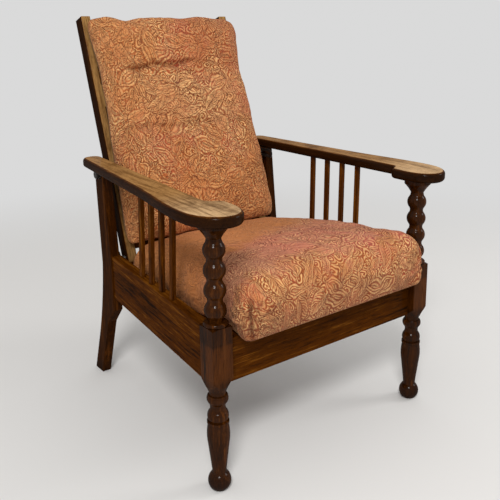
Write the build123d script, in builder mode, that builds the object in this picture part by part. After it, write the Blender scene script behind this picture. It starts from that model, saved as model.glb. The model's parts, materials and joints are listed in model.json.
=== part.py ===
from build123d import *
from math import atan2, cos, degrees, hypot, radians, sin, tan
import os

os.makedirs("parts", exist_ok=True)

# A reclining armchair in oak, with two loose cushions.
# Millimetres, +Z up, the chair faces -Y. The origin is on the floor under the middle of the whole chair.

# Driving sizes of the seat frame
post_spacing = 580.0
seat_depth = 504.0
rail_top = 358.0
side_rail_height = 112.0
front_rail_drop = 36.0
front_rail_height = 93.0
front_rail_setback = 18.5
rail_thickness = 25.0
rail_toe_in = 47.0

# Driving sizes of the arms
arm_height = 591.0
arm_thickness = 24.0
arm_rise_angle = 1.15
arm_overhang = 66.0
arm_rear_overhang = 37.0
arm_round = 8.0

# Driving sizes of the reclining back
back_angle = 18.0
back_travel_angle = 14.0
back_length = 633.0
back_side_gap = 17.0
stile_width = 27.0
stile_depth = 36.0
stile_front = 19.0
pivot_drop = 13.0
pivot_setback = 8.0

# Allowances that serve many pieces
overrun = 5.0
fit_gap = 0.1
rest_gap = 0.3
running_gap = 0.05
arris = 2.0
tenon_thickness = 10.0
tenon_length = 18.0
tenon_shoulder = 15.0

# The chair's length is centred on the origin
pivot_height = rail_top - pivot_drop
back_sin = sin(radians(back_angle))
back_cos = cos(radians(back_angle))
stile_rear = stile_depth - stile_front
rear_reach = seat_depth + pivot_setback + back_length * back_sin + stile_rear * back_cos
front_axis_y = -(rear_reach - arm_overhang) / 2
leg_face_y = front_axis_y + seat_depth
pivot_y = leg_face_y + pivot_setback
post_x = post_spacing / 2


def save(piece, name):
    piece.part.label = name
    export_step(piece.part, "parts/" + name + ".step")


def side_name(side):
    return "left" if side < 0 else "right"


def side_plane(x):
    # local x is the chair's +Y and local y is +Z
    return Plane(origin=(x, 0, 0), x_dir=(0, 1, 0), z_dir=(1, 0, 0))


# The arms lie in a plane that rises a little to the rear
arm_sin = sin(radians(arm_rise_angle))
arm_cos = cos(radians(arm_rise_angle))
arm_plane = Plane(origin=(0, front_axis_y, arm_height), x_dir=(1, 0, 0), z_dir=(0, -arm_sin, arm_cos))
arm_underside = arm_plane.offset(-arm_thickness)


def arm_underside_height(y):
    return arm_height - arm_thickness / arm_cos + (y - front_axis_y) * tan(radians(arm_rise_angle))


# Side rails toe in towards the rear legs
leg_square = 47.0
post_inner_x = post_x - leg_square / 2
rail_front_y = front_axis_y + leg_square / 2
rail_front_x = post_x + leg_square / 2
toe_slope = rail_toe_in / (leg_face_y - rail_front_y)
rail_plan_thickness = rail_thickness * hypot(1, toe_slope)
side_rail_bottom = rail_top - side_rail_height
side_tenon_height = side_rail_height - 2 * tenon_shoulder


def rail_outer_x(y):
    return rail_front_x - toe_slope * (y - rail_front_y)


def rail_inner_x(y):
    return rail_outer_x(y) - rail_plan_thickness


def side_rail_stub(side, y_start, y_end, gap, mode):
    # the tenon at an end of a side rail, or with a gap the mortise that takes it
    end_y = leg_face_y if y_end > leg_face_y else rail_front_y
    with BuildSketch(Plane.XY.offset(side_rail_bottom + tenon_shoulder - gap)) as stub:
        with Locations((side * (rail_outer_x(end_y) - rail_plan_thickness / 2), (y_start + y_end) / 2)):
            Rectangle(tenon_thickness + 2 * gap, y_end - y_start)
    extrude(stub.sketch, amount=side_tenon_height + 2 * gap, mode=mode)


def cross_rail_stub(side, face_x, middle_y, bottom, height, start, end, gap, mode):
    # the same for a rail across the chair, from start to end beyond the leg's face
    with BuildSketch(Plane.XY.offset(bottom + tenon_shoulder - gap)) as stub:
        with Locations((side * (face_x + (start + end) / 2), middle_y)):
            Rectangle(end - start, tenon_thickness + 2 * gap)
    extrude(stub.sketch, amount=height - 2 * tenon_shoulder + 2 * gap, mode=mode)


# Front rail
front_rail_top = rail_top - front_rail_drop
front_rail_bottom = front_rail_top - front_rail_height
front_rail_y = front_axis_y - leg_square / 2 + front_rail_setback
front_rail_middle = front_rail_y + rail_thickness / 2


def front_rail_stub(side, start, end, gap, mode):
    cross_rail_stub(side, post_inner_x, front_rail_middle, front_rail_bottom, front_rail_height,
                    start, end, gap, mode)


with BuildPart() as front_rail:
    with BuildSketch(Plane.XY.offset(front_rail_bottom)):
        with Locations((0, front_rail_middle)):
            Rectangle(2 * post_inner_x, rail_thickness)
    extrude(amount=front_rail_height)
    fillet(front_rail.edges().filter_by(Axis.X), arris)
    for side in (-1, 1):
        front_rail_stub(side, 0, tenon_length, 0, Mode.ADD)
save(front_rail, "front_rail")

# Turned front legs, from the floor up
ball_flat_radius = 13.0
ball_radius = 23.7
ball_mid = 17.0
ball_height = 38.0
ankle_radius = 14.9
ankle_height = 8.0
baluster_start_radius = 22.0
baluster_radius = 23.5
baluster_top_radius = 20.5
baluster_head = 44.0
baluster_belly = 26.0
ring_radius = 22.5
ring_height = 5.0
groove_radius = 19.6
groove_height = 2.0
bead_radius = 21.8
bead_height = 18.0
cove_radius = 15.6
cove_height = 21.0
collar_radius = 22.1
collar_height = 16.0
throat_radius = 17.0
throat_height = 10.0
block_drop = 24.0
block_end_radius = 19.0
block_bulge_radius = 29.0
block_bulge_height = 20.0
block_shoulder_height = 42.0
block_top_radius = 26.0
block_top_shoulder = 6.0
seat_ring_radius = 25.0
seat_ring_waist = 21.0
seat_ring_height = 9.0
seat_ring_neck = 2.0
bobbin_count = 4
bobbin_radius = 22.2
bobbin_waist_radius = 15.3
bobbin_neck_share = 0.36
cup_height = 33.0
cup_neck_radius = 15.0
cup_neck_height = 3.0
cup_radius = 30.5
cup_flare_radius = 20.5
cup_flare_low = 9.0
cup_flare_height = 21.0
spigot_radius = 11.0
spigot_cover = 6.0

block_bottom = side_rail_bottom - block_drop
collar_top = block_bottom - throat_height
cove_top = collar_top - collar_height
bead_top = cove_top - cove_height
bead_bottom = bead_top - bead_height
ring_top = bead_bottom - groove_height
baluster_top = ring_top - ring_height
seat_ring_top = rail_top + seat_ring_height
bobbin_start = seat_ring_top + seat_ring_neck
cup_bottom = arm_underside_height(front_axis_y) - cup_height
bobbin_top = cup_bottom - cup_neck_height
bobbin_pitch = (bobbin_top - bobbin_start) / bobbin_count
bobbin_neck = bobbin_neck_share * bobbin_pitch / 2
bobbin_edge = bobbin_waist_radius + bobbin_neck_share * (bobbin_radius - bobbin_waist_radius)
cup_top = arm_underside_height(front_axis_y + cup_radius) + overrun
spigot_top = arm_height - spigot_cover


def lathe_outline():
    # the turned work as radius and height, without the square block
    Polyline((0, 0), (ball_flat_radius, 0))
    ThreePointArc((ball_flat_radius, 0), (ball_radius, ball_mid), (ankle_radius, ball_height))
    Polyline((ankle_radius, ball_height), (ankle_radius, ball_height + ankle_height),
             (baluster_start_radius, baluster_top - baluster_head))
    ThreePointArc((baluster_start_radius, baluster_top - baluster_head),
                  (baluster_radius, baluster_top - baluster_belly), (baluster_top_radius, baluster_top))
    Polyline((baluster_top_radius, baluster_top), (ring_radius, baluster_top), (ring_radius, ring_top),
             (groove_radius, ring_top), (groove_radius, bead_bottom))
    ThreePointArc((groove_radius, bead_bottom), (bead_radius, bead_bottom + bead_height / 2),
                  (groove_radius, bead_top))
    ThreePointArc((groove_radius, bead_top), (cove_radius, bead_top + cove_height / 2),
                  (groove_radius, cove_top))
    ThreePointArc((groove_radius, cove_top), (collar_radius, cove_top + collar_height / 2),
                  (groove_radius, collar_top))
    Polyline((groove_radius, collar_top), (throat_radius, collar_top), (throat_radius, rail_top),
             (seat_ring_waist, rail_top))
    ThreePointArc((seat_ring_waist, rail_top), (seat_ring_radius, rail_top + seat_ring_height / 2),
                  (seat_ring_waist, seat_ring_top))
    Polyline((seat_ring_waist, seat_ring_top), (bobbin_waist_radius, seat_ring_top),
             (bobbin_waist_radius, bobbin_start))
    for k in range(bobbin_count):
        low = bobbin_start + k * bobbin_pitch
        high = low + bobbin_pitch
        TangentArc((bobbin_waist_radius, low), (bobbin_edge, low + bobbin_neck), tangent=(0, 1))
        ThreePointArc((bobbin_edge, low + bobbin_neck), (bobbin_radius, low + bobbin_pitch / 2),
                      (bobbin_edge, high - bobbin_neck))
        TangentArc((bobbin_waist_radius, high), (bobbin_edge, high - bobbin_neck), tangent=(0, -1))
    Polyline((bobbin_waist_radius, bobbin_top), (cup_neck_radius, bobbin_top), (cup_neck_radius, cup_bottom))
    ThreePointArc((cup_neck_radius, cup_bottom), (cup_flare_radius, cup_bottom + cup_flare_low),
                  (cup_radius, cup_bottom + cup_flare_height))
    Polyline((cup_radius, cup_bottom + cup_flare_height), (cup_radius, cup_top), (0, cup_top), (0, 0))


def front_leg_spigot(side, gap, mode):
    # the round stub of a front leg in the arm, or with a gap the hole that takes it
    with BuildSketch(Plane(origin=(side * post_x, front_axis_y, bobbin_top))) as stub:
        Circle(spigot_radius + gap)
    extrude(stub.sketch, amount=spigot_top + gap - bobbin_top, mode=mode)


for side in (-1, 1):
    axis_plane = Plane(origin=(side * post_x, front_axis_y, 0), x_dir=(1, 0, 0), z_dir=(0, -1, 0))
    leg_axis = Axis((side * post_x, front_axis_y, 0), (0, 0, 1))
    with BuildPart() as front_leg:
        # the square block, its ends rolled in on the lathe
        with BuildSketch(axis_plane):
            with BuildLine():
                Polyline((0, block_bottom), (block_end_radius, block_bottom))
                ThreePointArc((block_end_radius, block_bottom),
                              (block_bulge_radius, block_bottom + block_bulge_height),
                              (leg_square, block_bottom + block_shoulder_height))
                Polyline((leg_square, block_bottom + block_shoulder_height),
                         (leg_square, rail_top - block_top_shoulder), (block_top_radius, rail_top),
                         (0, rail_top), (0, block_bottom))
            make_face()
        revolve(axis=leg_axis)
        with BuildSketch(Plane(origin=(side * post_x, front_axis_y, block_bottom))):
            RectangleRounded(leg_square, leg_square, arris)
        extrude(amount=rail_top - block_bottom, mode=Mode.INTERSECT)
        with BuildSketch(axis_plane):
            with BuildLine():
                lathe_outline()
            make_face()
        revolve(axis=leg_axis)
        # the cup's top lies against the rising arm, and a spigot goes up into it
        split(bisect_by=arm_underside, keep=Keep.BOTTOM)
        front_leg_spigot(side, 0, Mode.ADD)
        side_rail_stub(side, rail_front_y - tenon_length - fit_gap, rail_front_y + overrun, fit_gap,
                       Mode.SUBTRACT)
        front_rail_stub(side, -overrun, tenon_length + fit_gap, fit_gap, Mode.SUBTRACT)
    save(front_leg, "front_leg_" + side_name(side))

# Rear legs, sawn from a board, and the rail between them
rear_leg_proud = 3.5
rear_leg_depth = 53.0
rear_leg_top_depth = 42.0
rear_leg_lean = 22.0
haunch_drop = 34.0
haunch_step_height = 46.0
haunch_step_depth = 40.0
knee_drop = 28.0
shin_height = 125.0
shin_reach = 96.0
knee_share = 0.36
foot_front_reach = 98.0
foot_depth = 43.0
rear_leg_bend = 60.0
rear_rail_drop = 24.0
rear_rail_height = 88.0
rear_rail_setback = 28.0
rear_rail_thickness = 20.0
arm_tenon_width = 16.0
arm_tenon_depth = 22.0
arm_tenon_height = 12.0

rear_leg_outer_x = rail_outer_x(leg_face_y) + rear_leg_proud
rear_leg_width = rail_thickness
rear_leg_inner_x = rear_leg_outer_x - rear_leg_width
leg_top_front = leg_face_y + rear_leg_lean
leg_top_rear = leg_top_front + rear_leg_top_depth
front_knee = (leg_face_y, rail_top)
rear_knee = (leg_face_y + rear_leg_depth, rail_top - knee_drop)
shin = (leg_face_y + shin_reach, shin_height)
rear_rail_top = pivot_height - rear_rail_drop
rear_rail_bottom = rear_rail_top - rear_rail_height
rear_rail_middle = leg_face_y + rear_rail_setback + rear_rail_thickness / 2


def rear_rail_stub(side, start, end, gap, mode):
    cross_rail_stub(side, rear_leg_inner_x, rear_rail_middle, rear_rail_bottom, rear_rail_height,
                    start, end, gap, mode)


def arm_stub(side, gap, mode):
    # the tenon of a rear leg in the arm, or with a gap the mortise that takes it
    with BuildSketch(arm_underside.offset(-overrun)) as stub:
        with Locations((side * (rear_leg_outer_x - rear_leg_width / 2),
                        (leg_top_front + leg_top_rear) / 2 - front_axis_y)):
            Rectangle(arm_tenon_width + 2 * gap, arm_tenon_depth + 2 * gap)
    extrude(stub.sketch, amount=overrun + arm_tenon_height + gap, mode=mode)


def rear_leg_outline():
    leg_top = arm_underside_height(leg_top_rear) + overrun
    haunch_bottom = side_rail_bottom - haunch_drop
    foot_y = leg_face_y + foot_front_reach
    Polyline(rear_knee, (leg_top_rear, leg_top), (leg_top_front, leg_top), front_knee,
             (leg_face_y, haunch_bottom), (leg_face_y + haunch_step_depth, haunch_bottom - haunch_step_height),
             (foot_y, 0), (foot_y + foot_depth, 0), shin)
    ThreePointArc(shin, (rear_knee[0] + (shin[0] - rear_knee[0]) * knee_share, (rear_knee[1] + shin[1]) / 2),
                  rear_knee)


# The back turns on plates screwed to the rear legs' inner faces, and a bolt through each leg clamps it
pivot_radius = 4.0
pivot_depth = 20.0
pivot_plate_thickness = 3.0
pivot_plate_height = 40.0
pivot_plate_front = 7.5
pivot_plate_rear = 38.0
pivot_plate_corner = 7.0
pivot_screw_row = 22.0
pivot_screw_spread = 22.0
screw_radius = 2.0
screw_head_radius = 3.6
screw_head_height = 2.2
screw_length = 16.0
clamp_radius = 4.0
clamp_gap = 0.1
clamp_reach = 42.0
clamp_drop = 13.0
clamp_y = leg_face_y + clamp_reach
clamp_z = arm_underside_height(clamp_y) - clamp_drop


def screw_plane(x, y, z, direction):
    # on the face that a screw's head is flush with, looking the way the screw goes in
    return Plane(origin=(x, y, z), x_dir=(0, 0, 1), z_dir=direction)


def screws(planes, length, gap, mode, head=True):
    # countersunk screws, or with a gap the holes that take them
    for plane in planes:
        with BuildSketch(plane) as shank:
            Circle(screw_radius + gap)
        extrude(shank.sketch, amount=length + gap, mode=mode)
        if head:
            with BuildSketch(plane) as rim:
                Circle(screw_head_radius + gap)
            with BuildSketch(plane.offset(screw_head_height)) as root:
                Circle(screw_radius + gap)
            loft([rim.sketch.face(), root.sketch.face()], mode=mode)


def pivot_screw_planes(side):
    x = side * (rear_leg_inner_x - pivot_plate_thickness)
    y = pivot_y + pivot_screw_row
    return [screw_plane(x, y, pivot_height + end * pivot_screw_spread / 2, (side, 0, 0)) for end in (-1, 1)]


for side in (-1, 1):
    with BuildPart() as rear_leg:
        with BuildSketch(side_plane(side * rear_leg_outer_x)):
            with BuildLine():
                rear_leg_outline()
            make_face()
            # its gentle bends are sawn in one smooth line
            for bend in (front_knee, rear_knee, shin):
                fillet(vertices().sort_by_distance(bend)[0], rear_leg_bend)
        extrude(amount=-side * rear_leg_width)
        fillet(rear_leg.faces().filter_by(Axis.X).edges(), arris)
        split(bisect_by=arm_underside, keep=Keep.BOTTOM)
        arm_stub(side, 0, Mode.ADD)
        side_rail_stub(side, leg_face_y - overrun, leg_face_y + tenon_length + fit_gap, fit_gap, Mode.SUBTRACT)
        rear_rail_stub(side, -overrun, tenon_length + fit_gap, fit_gap, Mode.SUBTRACT)
        with BuildSketch(side_plane(side * rear_leg_outer_x)):
            with Locations((clamp_y, clamp_z)):
                Circle(clamp_radius + clamp_gap)
        extrude(amount=-side * rear_leg_width, mode=Mode.SUBTRACT)
        screws(pivot_screw_planes(side), screw_length, running_gap, Mode.SUBTRACT, head=False)
    save(rear_leg, "rear_leg_" + side_name(side))

with BuildPart() as rear_rail:
    with BuildSketch(Plane.XY.offset(rear_rail_bottom)):
        with Locations((0, rear_rail_middle)):
            Rectangle(2 * rear_leg_inner_x, rear_rail_thickness)
    extrude(amount=rear_rail_height)
    fillet(rear_rail.edges().filter_by(Axis.X), arris)
    for side in (-1, 1):
        rear_rail_stub(side, 0, tenon_length, 0, Mode.ADD)
save(rear_rail, "rear_rail")

# Spindles stand between the side rails and the arms, leaning a little forward. As in the photograph, the
# right side's are set a little further back and closer together.
spindle_count = 4
spindle_width = 10.0
spindle_depth = 12.0
spindle_arris = 1.0
left_spindle_first = 162.5
left_spindle_pitch = 55.0
left_spindle_lean = 14.0
right_spindle_first = 197.0
right_spindle_pitch = 51.0
right_spindle_lean = 4.0
spindle_tenon = 12.0
spindle_inset = 10.0


def spindle_line(side, k):
    # where a spindle starts in the rail, its direction and its whole length
    if side < 0:
        first, pitch, lean = left_spindle_first, left_spindle_pitch, left_spindle_lean
    else:
        first, pitch, lean = right_spindle_first, right_spindle_pitch, right_spindle_lean
    y = front_axis_y + first + k * pitch
    foot = Vector(side * (rail_outer_x(y) - spindle_inset), y, rail_top)
    head = Vector(foot.X, y - lean, arm_underside_height(y - lean))
    along = (head - foot).normalized()
    return foot - along * spindle_tenon, along, (head - foot).length + 2 * spindle_tenon


def spindle_bar(side, k, gap, mode):
    start, along, length = spindle_line(side, k)
    with BuildSketch(Plane(origin=start - along * gap, x_dir=(1, 0, 0), z_dir=along)) as section:
        RectangleRounded(spindle_width + 2 * gap, spindle_depth + 2 * gap, spindle_arris)
    extrude(section.sketch, amount=length + 2 * gap, mode=mode)


for side in (-1, 1):
    for k in range(spindle_count):
        with BuildPart() as spindle:
            spindle_bar(side, k, 0, Mode.ADD)
        save(spindle, "spindle_" + side_name(side) + "_" + str(k + 1))

# Bearers along the side rails carry the slats of the sloping deck
deck_rise = 1.0
deck_angle = 3.0
slat_thickness = 12.0
slat_width = 58.0
slat_count = 6
slat_front = 31.0
slat_rear_gap = 30.0
slat_end_gap = 1.0
bearer_size = 22.0
bearer_front_gap = 6.0
bearer_rear_gap = 30.0
bearer_screw_count = 4
bearer_screw_margin = 45.0
bearer_screw_length = 36.0
deck_height = front_rail_top + deck_rise
deck_sin = sin(radians(deck_angle))
deck_cos = cos(radians(deck_angle))
deck_plane = Plane(origin=(0, front_axis_y, deck_height), x_dir=(1, 0, 0), z_dir=(0, deck_sin, deck_cos))
bearer_front_y = rail_front_y + bearer_front_gap
bearer_rear_y = leg_face_y - bearer_rear_gap


def bearer_middle(y):
    # height of a bearer's middle line under the deck
    drop = (slat_thickness + bearer_size / 2) / deck_cos
    return deck_height - drop - (y - front_axis_y) * tan(radians(deck_angle))


def bearer_screw_planes(side):
    first = bearer_front_y + bearer_screw_margin
    pitch = (bearer_rear_y - bearer_front_y - 2 * bearer_screw_margin) / (bearer_screw_count - 1)
    places = [first + k * pitch for k in range(bearer_screw_count)]
    into_rail = Vector(side, toe_slope, 0).normalized()
    return [screw_plane(side * (rail_inner_x(y) - bearer_size), y, bearer_middle(y), into_rail) for y in places]


for side in (-1, 1):
    with BuildPart() as side_rail:
        with BuildSketch(Plane.XY.offset(side_rail_bottom)):
            with BuildLine():
                Polyline((side * rail_outer_x(rail_front_y), rail_front_y),
                         (side * rail_outer_x(leg_face_y), leg_face_y),
                         (side * rail_inner_x(leg_face_y), leg_face_y),
                         (side * rail_inner_x(rail_front_y), rail_front_y), close=True)
            make_face()
        extrude(amount=side_rail_height)
        fillet(side_rail.edges().sort_by(SortBy.LENGTH)[-4:], arris)
        side_rail_stub(side, rail_front_y - tenon_length, rail_front_y, 0, Mode.ADD)
        side_rail_stub(side, leg_face_y, leg_face_y + tenon_length, 0, Mode.ADD)
        for k in range(spindle_count):
            spindle_bar(side, k, fit_gap, Mode.SUBTRACT)
        screws(bearer_screw_planes(side), bearer_screw_length, running_gap, Mode.SUBTRACT, head=False)
    save(side_rail, "side_rail_" + side_name(side))

    with BuildPart() as seat_bearer:
        with BuildSketch(side_plane(0)):
            with BuildLine():
                Polyline((bearer_front_y, bearer_middle(bearer_front_y) - bearer_size / 2 / deck_cos),
                         (bearer_rear_y, bearer_middle(bearer_rear_y) - bearer_size / 2 / deck_cos),
                         (bearer_rear_y, bearer_middle(bearer_rear_y) + bearer_size / 2 / deck_cos),
                         (bearer_front_y, bearer_middle(bearer_front_y) + bearer_size / 2 / deck_cos),
                         close=True)
            make_face()
        extrude(amount=side * post_spacing)
        with BuildSketch(Plane.XY):
            with BuildLine():
                Polyline((side * rail_inner_x(bearer_front_y), bearer_front_y),
                         (side * rail_inner_x(bearer_rear_y), bearer_rear_y),
                         (side * (rail_inner_x(bearer_rear_y) - bearer_size), bearer_rear_y),
                         (side * (rail_inner_x(bearer_front_y) - bearer_size), bearer_front_y), close=True)
            make_face()
        extrude(amount=rail_top, mode=Mode.INTERSECT)
        screws(bearer_screw_planes(side), bearer_screw_length, running_gap, Mode.SUBTRACT)
    save(seat_bearer, "seat_bearer_" + side_name(side))

with BuildPart() as bearer_screws:
    screws(bearer_screw_planes(-1) + bearer_screw_planes(1), bearer_screw_length, 0, Mode.ADD)
save(bearer_screws, "bearer_screws")

slat_pitch = (seat_depth - slat_rear_gap - slat_width - slat_front) / (slat_count - 1)
for k in range(slat_count):
    near = slat_front + k * slat_pitch
    far = near + slat_width
    near_half = rail_inner_x(front_axis_y + near) - slat_end_gap
    far_half = rail_inner_x(front_axis_y + far) - slat_end_gap
    with BuildPart() as seat_slat:
        with BuildSketch(deck_plane):
            with BuildLine():
                Polyline((-near_half, near), (near_half, near), (far_half, far), (-far_half, far), close=True)
            make_face()
        extrude(amount=-slat_thickness)
    save(seat_slat, "seat_slat_" + str(k + 1))

# Glued corner blocks behind the front legs
corner_block_reach = 58.0
corner_block_height = 34.0
corner_block_drop = 74.0
for side in (-1, 1):
    reach_y = rail_front_y + corner_block_reach
    with BuildPart() as corner_block:
        with BuildSketch(Plane.XY.offset(front_rail_top - corner_block_drop)):
            with BuildLine():
                Polyline((side * rail_inner_x(reach_y), reach_y),
                         (side * rail_inner_x(rail_front_y), rail_front_y),
                         (side * post_inner_x, rail_front_y),
                         (side * post_inner_x, front_rail_y + rail_thickness),
                         (side * (post_inner_x - corner_block_reach), front_rail_y + rail_thickness), close=True)
            make_face()
        extrude(amount=corner_block_height)
    save(corner_block, "corner_block_" + side_name(side))

# Paddle arms. Their places are measured from the front legs' axes.
paddle_out = 62.0
paddle_in = 52.0
paddle_rear = 20.0
step_in = 21.0
step_front = 37.0
step_rear = 56.0
step_round = 14.0
swell_out = 35.0
swell_rear = 245.0
arm_rear_out = 18.5
arm_rear_in = 30.0
arm_rear_round = 22.0
# shares of the paddle's width outwards and of its overhang forwards, round its front
paddle_shares = ((0.93, -1.7), (1.0, -0.55), (0.93, 0.36), (0.7, 0.85), (0.43, 1.0), (0.17, 0.8), (0.02, 0.25))


def arm_outline(side):
    arm_end = leg_top_rear + arm_rear_overhang - front_axis_y
    rear_out = rear_leg_outer_x + arm_rear_out
    rear_in = rear_leg_outer_x - arm_rear_in
    inner_front = post_x - paddle_in
    width = paddle_out + paddle_in
    swell = (side * (post_x + swell_out), swell_rear)
    paddle_end = (side * inner_front, paddle_rear)
    paddle_front = [(side * (inner_front + out * width), -ahead * arm_overhang) for out, ahead in paddle_shares]
    FilletPolyline(paddle_end, (side * inner_front, step_front), (side * (post_x - step_in), step_rear),
                   (side * rear_in, arm_end), (side * rear_out, arm_end), swell,
                   radius=(step_round, step_round, arm_rear_round, arm_rear_round))
    Spline(swell, *paddle_front, paddle_end,
           tangents=((swell[0] - side * rear_out, swell[1] - arm_end), (0, 1)))


for side in (-1, 1):
    with BuildPart() as arm:
        with BuildSketch(arm_plane):
            with BuildLine():
                arm_outline(side)
            make_face()
        extrude(amount=-arm_thickness)
        fillet(arm.faces().sort_by(Axis.Z)[-1].edges() + arm.faces().sort_by(Axis.Z)[0].edges(), arm_round)
        front_leg_spigot(side, fit_gap, Mode.SUBTRACT)
        arm_stub(side, fit_gap, Mode.SUBTRACT)
        for k in range(spindle_count):
            spindle_bar(side, k, fit_gap, Mode.SUBTRACT)
    save(arm, "arm_" + side_name(side))


# The back leans on its pivots. Local x of its planes runs forward out of it and local y up along it.
back_up = Vector(0, back_sin, back_cos)
back_forward = Vector(0, -back_cos, back_sin)
back_half_width = rear_leg_inner_x - back_side_gap
back_inner_x = back_half_width - stile_width
back_face = stile_front


def back_plane(x):
    return Plane(origin=(x, pivot_y, pivot_height), x_dir=back_forward, z_dir=(-1, 0, 0))


# Ladder of the back
stile_tail = 25.0
tail_shoulder = -stile_tail + stile_depth / 2
stile_arris = 3.0
back_rail_height = 55.0
back_rail_thickness = 20.0
bottom_rail_rise = 18.0
top_rail_drop = 20.0
back_slat_count = 4
back_slat_height = 48.0
back_slat_thickness = 12.0
back_slat_housing = 8.0
bottom_rail_top = bottom_rail_rise + back_rail_height
top_rail_bottom = back_length - top_rail_drop - back_rail_height
back_slat_pitch = (top_rail_bottom - bottom_rail_top + back_slat_height) / (back_slat_count + 1)


def ladder_bar(low, height, thickness, end_x, gap, mode):
    # a bar across the back, flush with the stiles' front, as far as end_x on both sides
    with BuildSketch(back_plane(end_x + gap)) as section:
        with Locations((back_face - thickness / 2, low + height / 2)):
            Rectangle(thickness + 2 * gap, height + 2 * gap)
    extrude(section.sketch, amount=2 * (end_x + gap), mode=mode)


def back_rail_stubs(low, gap, mode):
    # the tenons of a back rail, or with a gap the mortises in both stiles
    shoulder = tenon_shoulder / 2
    with BuildSketch(back_plane(back_inner_x + tenon_length + gap)) as section:
        with Locations((back_face - back_rail_thickness / 2, low + back_rail_height / 2)):
            Rectangle(tenon_thickness + 2 * gap, back_rail_height - 2 * shoulder + 2 * gap)
    extrude(section.sketch, amount=2 * (back_inner_x + tenon_length + gap), mode=mode)


def back_slat_low(k):
    return bottom_rail_top + (k + 1) * back_slat_pitch - back_slat_height


# The clamp's distance from the pivot, and how far it lies in front of the stile's middle line
pivot = Vector(0, pivot_y, pivot_height)
clamp_arm = hypot(clamp_y - pivot_y, clamp_z - pivot_height)
clamp_ahead = back_angle - degrees(atan2(clamp_y - pivot_y, clamp_z - pivot_height))
quadrant_packing = 4.0
quadrant_thickness = 3.0
quadrant_band = 24.0
quadrant_foot = 60.0
quadrant_foot_width = 22.0
quadrant_corner = 4.0
quadrant_slot_gap = 0.5
quadrant_screw_spread = 42.0
packer_radius = 6.0


def quadrant_screw_planes(side):
    # the screws of a quadrant, one above and one below its band, flush with its outer face
    x = side * (back_half_width + quadrant_packing + quadrant_thickness)
    places = [pivot + back_up * (clamp_arm + end * quadrant_screw_spread / 2) for end in (-1, 1)]
    return [screw_plane(x, place.Y, place.Z, (-side, 0, 0)) for place in places]


for side in (-1, 1):
    with BuildPart() as back_stile:
        with BuildSketch(back_plane(side * back_half_width)):
            with BuildLine():
                Polyline((-stile_rear, tail_shoulder), (-stile_rear, back_length),
                         (back_face, back_length), (back_face, tail_shoulder))
                ThreePointArc((back_face, tail_shoulder), (back_face - stile_depth / 2, -stile_tail),
                              (-stile_rear, tail_shoulder))
            make_face()
        extrude(amount=side * stile_width)
        fillet(back_stile.faces().filter_by(Axis.X).edges(), stile_arris)
        for low in (bottom_rail_rise, top_rail_bottom):
            back_rail_stubs(low, fit_gap, Mode.SUBTRACT)
        for k in range(back_slat_count):
            ladder_bar(back_slat_low(k), back_slat_height, back_slat_thickness,
                       back_inner_x + back_slat_housing, fit_gap, Mode.SUBTRACT)
        # the bore that turns on the pivot stud
        with BuildSketch(back_plane(side * back_half_width)):
            Circle(pivot_radius + running_gap)
        extrude(amount=side * (pivot_depth + running_gap), mode=Mode.SUBTRACT)
        screws(quadrant_screw_planes(side), screw_length + quadrant_packing, running_gap, Mode.SUBTRACT, head=False)
    save(back_stile, "back_stile_" + side_name(side))

for name, low in (("back_bottom_rail", bottom_rail_rise), ("back_top_rail", top_rail_bottom)):
    with BuildPart() as back_rail:
        ladder_bar(low, back_rail_height, back_rail_thickness, back_inner_x, 0, Mode.ADD)
        back_rail_stubs(low, 0, Mode.ADD)
    save(back_rail, name)

for k in range(back_slat_count):
    with BuildPart() as back_slat:
        ladder_bar(back_slat_low(k), back_slat_height, back_slat_thickness,
                   back_inner_x + back_slat_housing, 0, Mode.ADD)
    save(back_slat, "back_slat_" + str(k + 1))

# Pivot plates with their studs, and the spacers on the studs
spacer_radius = 7.0
plate_inner_x = rear_leg_inner_x - pivot_plate_thickness
for side in (-1, 1):
    plate_middle = pivot_y + (pivot_plate_rear - pivot_plate_front) / 2
    with BuildPart() as pivot_plate:
        with BuildSketch(side_plane(side * plate_inner_x)):
            with Locations((plate_middle, pivot_height)):
                RectangleRounded(pivot_plate_rear + pivot_plate_front, pivot_plate_height, pivot_plate_corner)
        extrude(amount=side * pivot_plate_thickness)
        with BuildSketch(side_plane(side * plate_inner_x)):
            with Locations((pivot_y, pivot_height)):
                Circle(pivot_radius)
        extrude(amount=-side * (plate_inner_x - back_half_width + pivot_depth))
        screws(pivot_screw_planes(side), screw_length, running_gap, Mode.SUBTRACT)
    save(pivot_plate, "pivot_plate_" + side_name(side))

    with BuildPart() as pivot_spacer:
        with BuildSketch(side_plane(side * (plate_inner_x - fit_gap))):
            with Locations((pivot_y, pivot_height)):
                Circle(spacer_radius)
                Circle(pivot_radius + running_gap, mode=Mode.SUBTRACT)
        extrude(amount=-side * (plate_inner_x - back_half_width - 2 * fit_gap))
    save(pivot_spacer, "pivot_spacer_" + side_name(side))

with BuildPart() as pivot_plate_screws:
    screws(pivot_screw_planes(-1) + pivot_screw_planes(1), screw_length, 0, Mode.ADD)
save(pivot_plate_screws, "pivot_plate_screws")

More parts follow.
